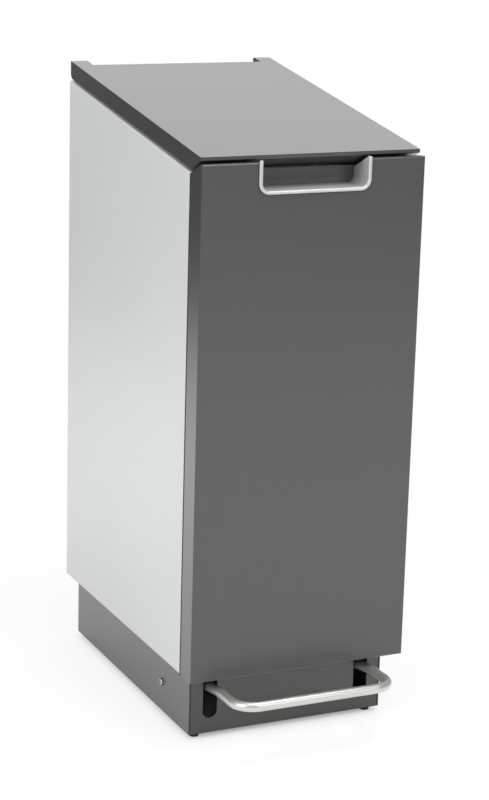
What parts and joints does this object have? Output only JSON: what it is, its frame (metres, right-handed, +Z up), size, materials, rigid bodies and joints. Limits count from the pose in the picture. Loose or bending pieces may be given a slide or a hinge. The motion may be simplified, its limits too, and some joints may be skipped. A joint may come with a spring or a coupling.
{
  "type": "pedal trash can",
  "caption": "Tall rectangular steel trash can with a plinth, a bent-bar foot pedal that lifts a sloping lid through a push rod, and a pull-out front that carries a liner bucket.",
  "frame": {"origin": "centre of the whole object's footprint, on the floor", "axes": "+X to the right seen from the front, +Y to the back, +Z up; the pedal and the front face -Y"},
  "size_m": [0.33, 0.5716, 0.9001],
  "materials": {
    "light_paint": "light silver grey powder coat, satin",
    "dark_paint": "dark grey powder coat, satin",
    "galvanised_sheet": "galvanised sheet",
    "runner_steel": "bright zinc plate",
    "plated_steel": "zinc plate",
    "fasteners": "zinc plate",
    "stainless_bar": "polished stainless steel",
    "cast_grip": "satin cast aluminium",
    "rubber_parts": "black rubber",
    "plastic_parts": "black moulded plastic"
  },
  "bodies": {
    "cabinet": {"side_panel_left": "light_paint", "side_panel_right": "light_paint", "floor_panel": "galvanised_sheet", "linkage_shield": "galvanised_sheet", "rear_panel": "galvanised_sheet", "top_deck": "galvanised_sheet", "mouth_seal": "rubber_parts", "hinge_knuckle_left": "plated_steel", "hinge_knuckle_right": "plated_steel", "hinge_bushes": "plastic_parts", "plinth_shell": "dark_paint", "plinth_front": "dark_paint", "rubber_feet": "rubber_parts", "foot_screws": "fasteners", "plinth_screws": "fasteners", "rear_screws": "fasteners", "deck_screws": "fasteners", "pivot_screws": "fasteners", "pivot_nuts": "fasteners", "pedal_stop": "rubber_parts", "runner_rail_left": "galvanised_sheet", "runner_rail_right": "galvanised_sheet", "runner_outer_left": "runner_steel", "runner_outer_right": "runner_steel", "magnetic_catches": "plastic_parts"},
    "lid": {"lid_shell": "dark_paint", "lid_pan": "galvanised_sheet", "hinge_ears_left": "plated_steel", "hinge_ears_right": "plated_steel", "hinge_pins": "plated_steel", "lid_crank": "plated_steel"},
    "pedal": {"pedal_bar": "stainless_bar", "pedal_lever_left": "plated_steel", "pedal_lever_right": "plated_steel", "cross_tube": "plated_steel", "pedal_bushes": "plastic_parts", "rear_arm": "plated_steel"},
    "push_rod": {"push_rod": "plated_steel", "upper_fork": "plated_steel", "lower_fork": "plated_steel", "rod_nuts": "fasteners", "clevis_pins": "plated_steel"},
    "drawer": {"front_panel": "dark_paint", "front_inner_panel": "galvanised_sheet", "grip": "cast_grip", "grip_back": "dark_paint", "strike_plates": "plated_steel", "drawer_tray": "galvanised_sheet", "tray_screws": "fasteners", "runner_inner_left": "runner_steel", "runner_inner_right": "runner_steel", "liner": "galvanised_sheet"},
    "middle_runner_left": {"runner_middle_left": "runner_steel"},
    "middle_runner_right": {"runner_middle_right": "runner_steel"}
  },
  "joints": [
    {"name": "lid_hinge", "type": "hinge", "parent": "cabinet", "child": "lid", "pos_m": [0, 0.2748, 0.88361], "axis": [-1, 0, 0], "range_deg": [0, 70]},
    {"name": "pedal_pivot", "type": "hinge", "parent": "cabinet", "child": "pedal", "pos_m": [0, -0.078, 0.0516], "axis": [1, 0, 0], "range_deg": [0, 15]},
    {"name": "push_rod_link", "type": "hinge", "parent": "lid", "child": "push_rod", "pos_m": [0, 0.21903, 0.84456], "axis": [1, 0, 0], "range_deg": [0, 70]},
    {"name": "drawer_slide", "type": "slide", "parent": "cabinet", "child": "drawer", "axis": [0, -1, 0], "range_m": [0, 0.34]},
    {"name": "runner_left_slide", "type": "slide", "parent": "cabinet", "child": "middle_runner_left", "axis": [0, -1, 0], "range_m": [0, 0.17]},
    {"name": "runner_right_slide", "type": "slide", "parent": "cabinet", "child": "middle_runner_right", "axis": [0, -1, 0], "range_m": [0, 0.17]}
  ],
  "couplings": [
    {"joint": "pedal_pivot", "follows": "lid_hinge", "ratio": 0.21429},
    {"joint": "push_rod_link", "follows": "lid_hinge", "ratio": 1},
    {"joint": "runner_left_slide", "follows": "drawer_slide", "ratio": 0.5},
    {"joint": "runner_right_slide", "follows": "drawer_slide", "ratio": 0.5}
  ]
}
